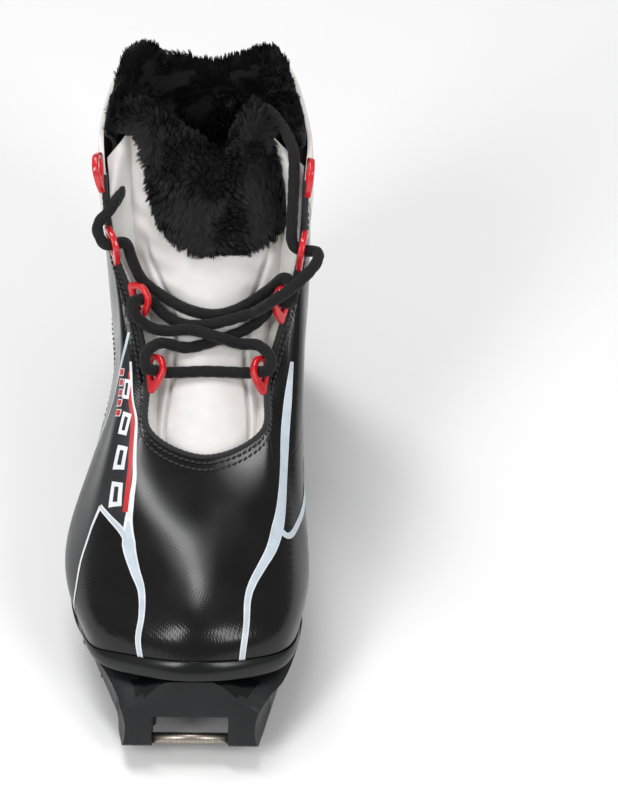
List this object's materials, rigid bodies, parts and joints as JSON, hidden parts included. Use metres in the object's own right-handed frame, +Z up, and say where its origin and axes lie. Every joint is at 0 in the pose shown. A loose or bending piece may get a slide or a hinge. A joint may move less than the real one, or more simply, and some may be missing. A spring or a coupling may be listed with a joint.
{
  "type": "cross country boot",
  "caption": "Nordic touring ski boot with a steel toe bar, a channelled rubber sole, a laced throat with moulded rings, a padded tongue and a pile-lined collar.",
  "frame": {"origin": "on the ground under the middle of the boot's overall length and width", "axes": "+Z up, toe towards -Y, heel towards +Y, outer side of the foot towards -X, inner side towards +X"},
  "size_m": [0.1072, 0.276, 0.1829],
  "materials": {
    "rubber_sole": "satin",
    "steel": "brushed",
    "board": "matte",
    "foam": "matte",
    "gloss_rubber": "gloss",
    "black_upper": "gloss",
    "twill": "textured",
    "white_upper": "satin",
    "stiffener": "matte",
    "lining": "matte",
    "pile": "matte",
    "red_plastic": "gloss",
    "lace": "matte",
    "lace_tip": "gloss"
  },
  "bodies": {
    "boot": {"outsole": "rubber_sole", "toe_bar": "steel", "shank": "steel", "insole_board": "board", "footbed": "foam", "toe_rand": "gloss_rubber", "vamp": "black_upper", "quarter_lateral": "black_upper", "quarter_medial": "black_upper", "heel_cover": "twill", "collar_lateral": "white_upper", "collar_medial": "white_upper", "toe_puff": "stiffener", "heel_stiffener": "stiffener", "forefoot_lining": "lining", "pile_lining": "pile", "gusset_lateral": "white_upper", "gusset_medial": "white_upper", "lace_loop_lateral_1": "red_plastic", "lace_loop_lateral_2": "red_plastic", "lace_loop_lateral_3": "red_plastic", "lace_loop_lateral_4": "red_plastic", "lace_loop_medial_1": "red_plastic", "lace_loop_medial_2": "red_plastic", "lace_loop_medial_3": "red_plastic", "lace_loop_medial_4": "red_plastic", "lace": "lace", "lace_tip_lateral": "lace_tip", "lace_tip_medial": "lace_tip"},
    "tongue": {"tongue": "white_upper", "tongue_trim": "pile"}
  },
  "joints": [
    {"name": "tongue_fold", "type": "hinge", "parent": "boot", "child": "tongue", "pos_m": [0.0073, -0.044, 0.063], "axis": [1, 0, 0], "range_deg": [-4, 0], "stiffness_Nm_per_rad": 1.5, "springref_deg": 5.73}
  ]
}
